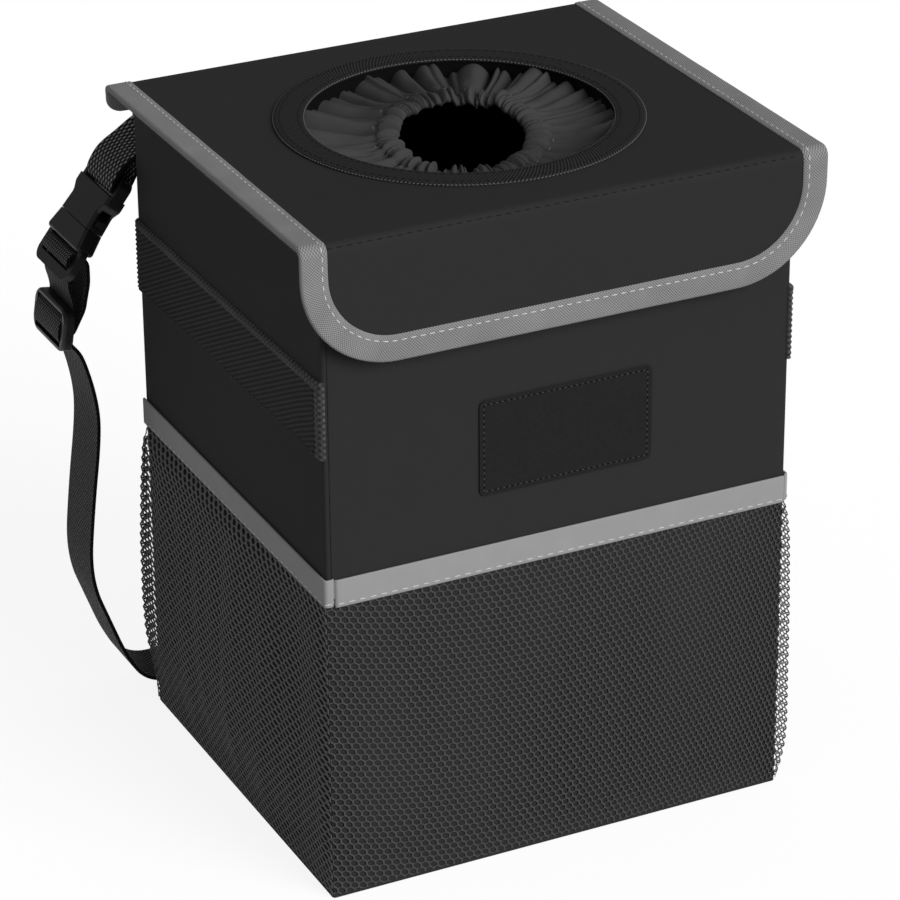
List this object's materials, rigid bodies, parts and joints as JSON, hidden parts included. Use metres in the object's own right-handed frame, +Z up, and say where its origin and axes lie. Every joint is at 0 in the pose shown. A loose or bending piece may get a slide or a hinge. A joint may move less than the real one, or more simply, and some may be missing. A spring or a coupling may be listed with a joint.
{
  "type": "car trash bin",
  "caption": "Soft-sided car trash bin: boarded cloth box, hinged lid with gathered mouth and front flap, net pockets, and a webbing strap with buckle and slider for hanging.",
  "frame": {"origin": "middle of the base, on the surface it stands on", "axes": "+Z up, front flap towards -Y, strap behind at +Y and out to -X"},
  "size_m": [0.2329, 0.2053, 0.266],
  "materials": {
    "black_cloth": "matte woven",
    "board": "plain sheet",
    "liner": "smooth waterproof film",
    "grey_binding": "matte woven tape",
    "net": "open knitted net",
    "black_webbing": "ribbed webbing",
    "black_plastic": "satin moulded",
    "patch_rubber": "matte moulded",
    "elastic": "matte"
  },
  "bodies": {
    "bin": {"base_panel": "black_cloth", "outer_shell": "black_cloth", "base_board": "board", "front_board": "board", "back_board": "board", "left_board": "board", "right_board": "board", "inner_liner": "liner", "rim_binding": "black_webbing", "front_pocket_net": "net", "left_pocket_net": "net", "right_pocket_net": "net", "front_pocket_band": "grey_binding", "left_pocket_band": "grey_binding", "right_pocket_band": "grey_binding", "left_grip": "black_webbing", "right_grip": "black_webbing", "label_patch": "patch_rubber", "closure_loop_strip": "black_webbing", "hinge_flap": "black_cloth", "hinge_trim_left": "grey_binding", "hinge_trim_right": "grey_binding", "strap_upper": "black_webbing", "strap_lower": "black_webbing", "buckle_socket": "black_plastic"},
    "lid": {"lid_panel": "black_cloth", "lid_lining": "black_cloth", "lid_board": "board", "lid_trim_left": "grey_binding", "lid_trim_right": "grey_binding", "opening_ring": "black_webbing", "gathered_collar": "black_cloth", "collar_elastic": "elastic"},
    "flap": {"flap_panel": "black_cloth", "flap_trim": "grey_binding", "closure_hook_strip": "black_webbing"},
    "buckle_plug": {"buckle_plug": "black_plastic"},
    "strap_slider": {"strap_slider": "black_plastic"}
  },
  "joints": [
    {"name": "lid_hinge", "type": "hinge", "parent": "bin", "child": "lid", "pos_m": [0, 0.0852, 0.2633], "axis": [-1, 0, 0], "range_deg": [0, 180]},
    {"name": "flap_hinge", "type": "hinge", "parent": "lid", "child": "flap", "pos_m": [0, -0.0875, 0.2633], "axis": [-1, 0, 0], "range_deg": [0, 135]},
    {"name": "buckle_release", "type": "slide", "parent": "bin", "child": "buckle_plug", "axis": [-0.6108, 0, -0.7918], "range_m": [0, 0.03], "deforming": ["strap_lower", "buckle_plug"]},
    {"name": "slider_adjust", "type": "slide", "parent": "buckle_plug", "child": "strap_slider", "axis": [-0.148, 0, -0.989], "range_m": [0, 0.02]}
  ]
}
